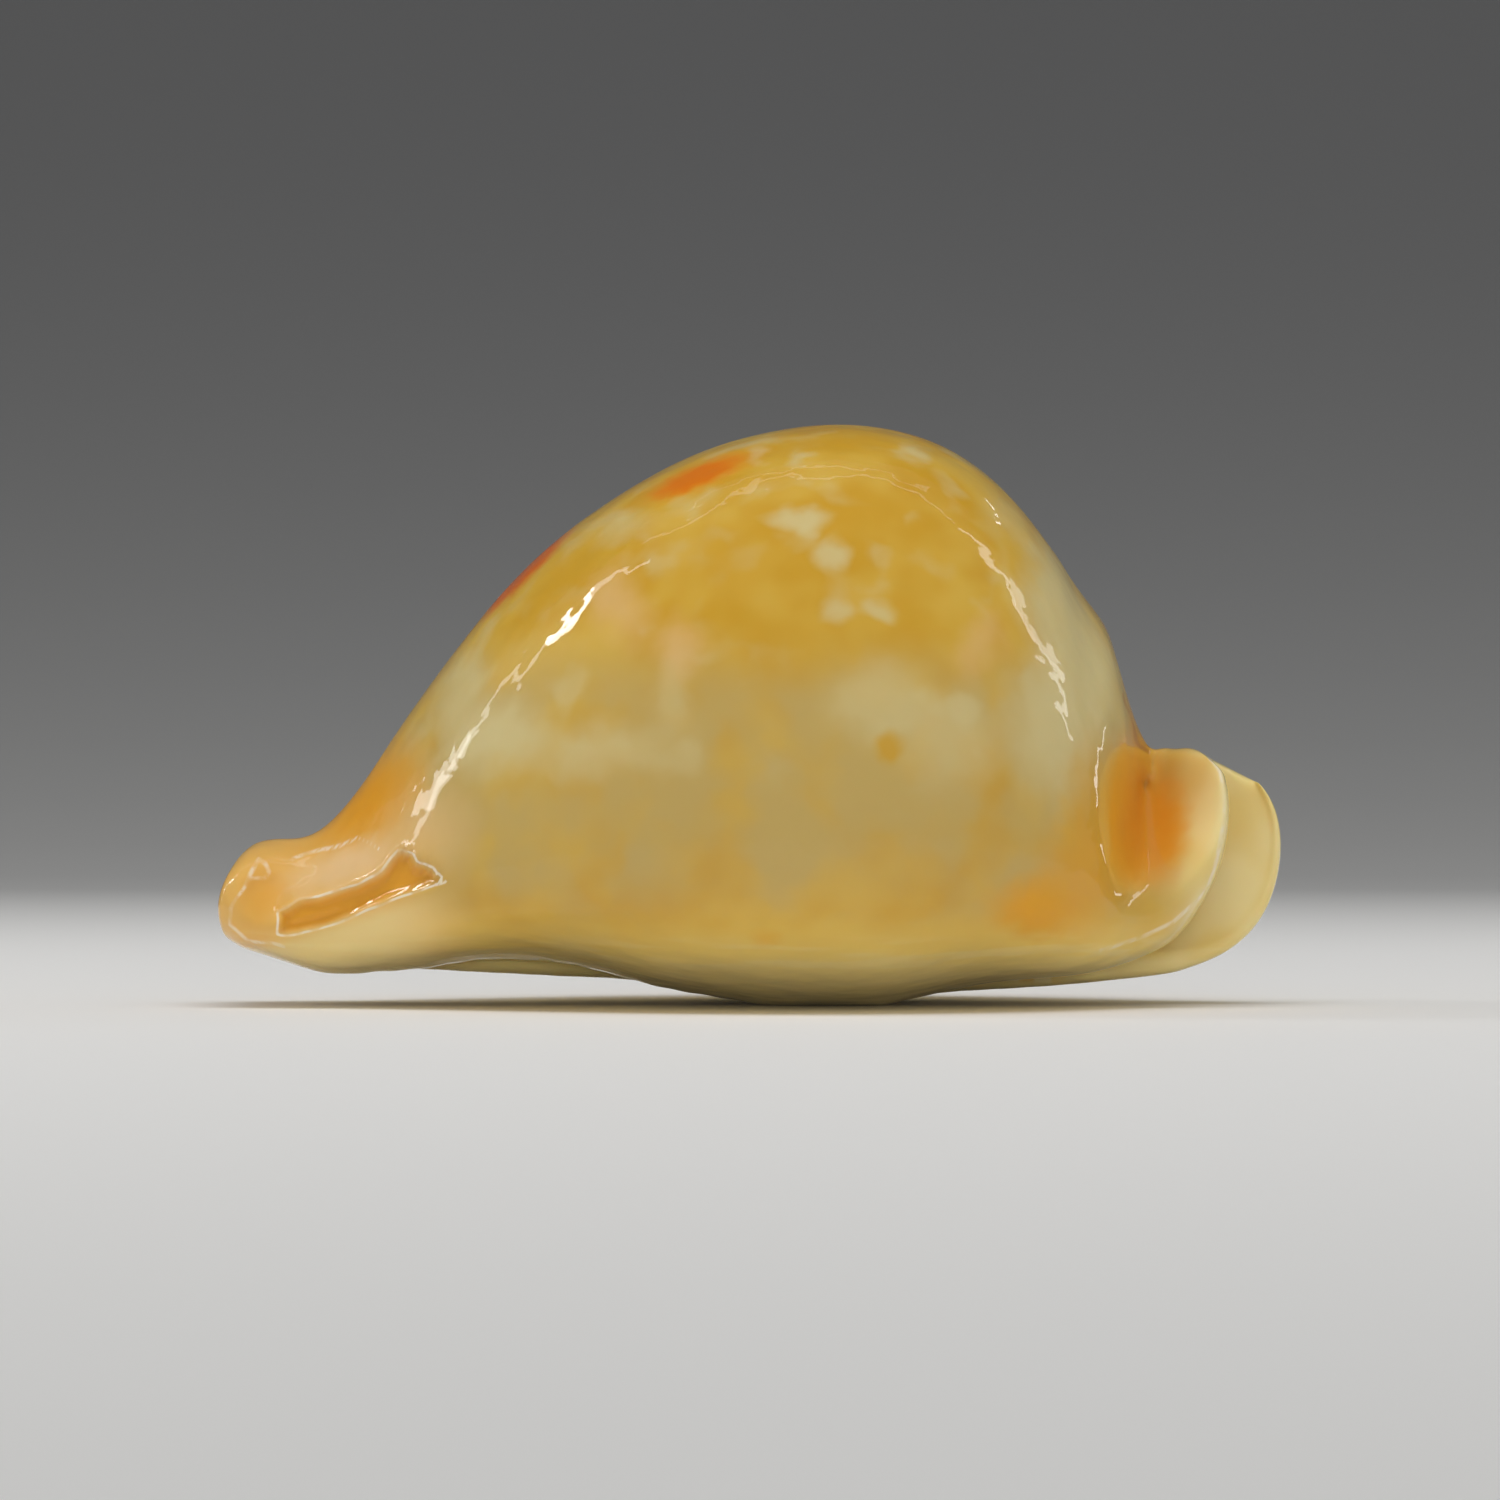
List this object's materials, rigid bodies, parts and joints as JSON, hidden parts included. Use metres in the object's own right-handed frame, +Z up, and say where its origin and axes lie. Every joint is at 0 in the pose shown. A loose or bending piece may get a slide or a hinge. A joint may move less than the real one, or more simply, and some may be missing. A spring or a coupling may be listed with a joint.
{
  "type": "cowrie shell",
  "caption": "Hollow egg-shaped sea shell with a beaked front, a toothed slot along its underside, a flared notch and a deep pit at the rear.",
  "frame": {"origin": "under the middle of the shell's bounding box, on the surface that it rests on", "axes": "+X towards the rear end with its flared notch, -X towards the beak, +Z up towards the back, the slot facing down; -Y is the side with the pit"},
  "size_m": [0.092, 0.0576, 0.0504],
  "materials": {
    "shell_glaze": "natural glossy enamel, apricot clouded with cream"
  },
  "bodies": {
    "root": {"shell": "shell_glaze"}
  },
  "joints": []
}
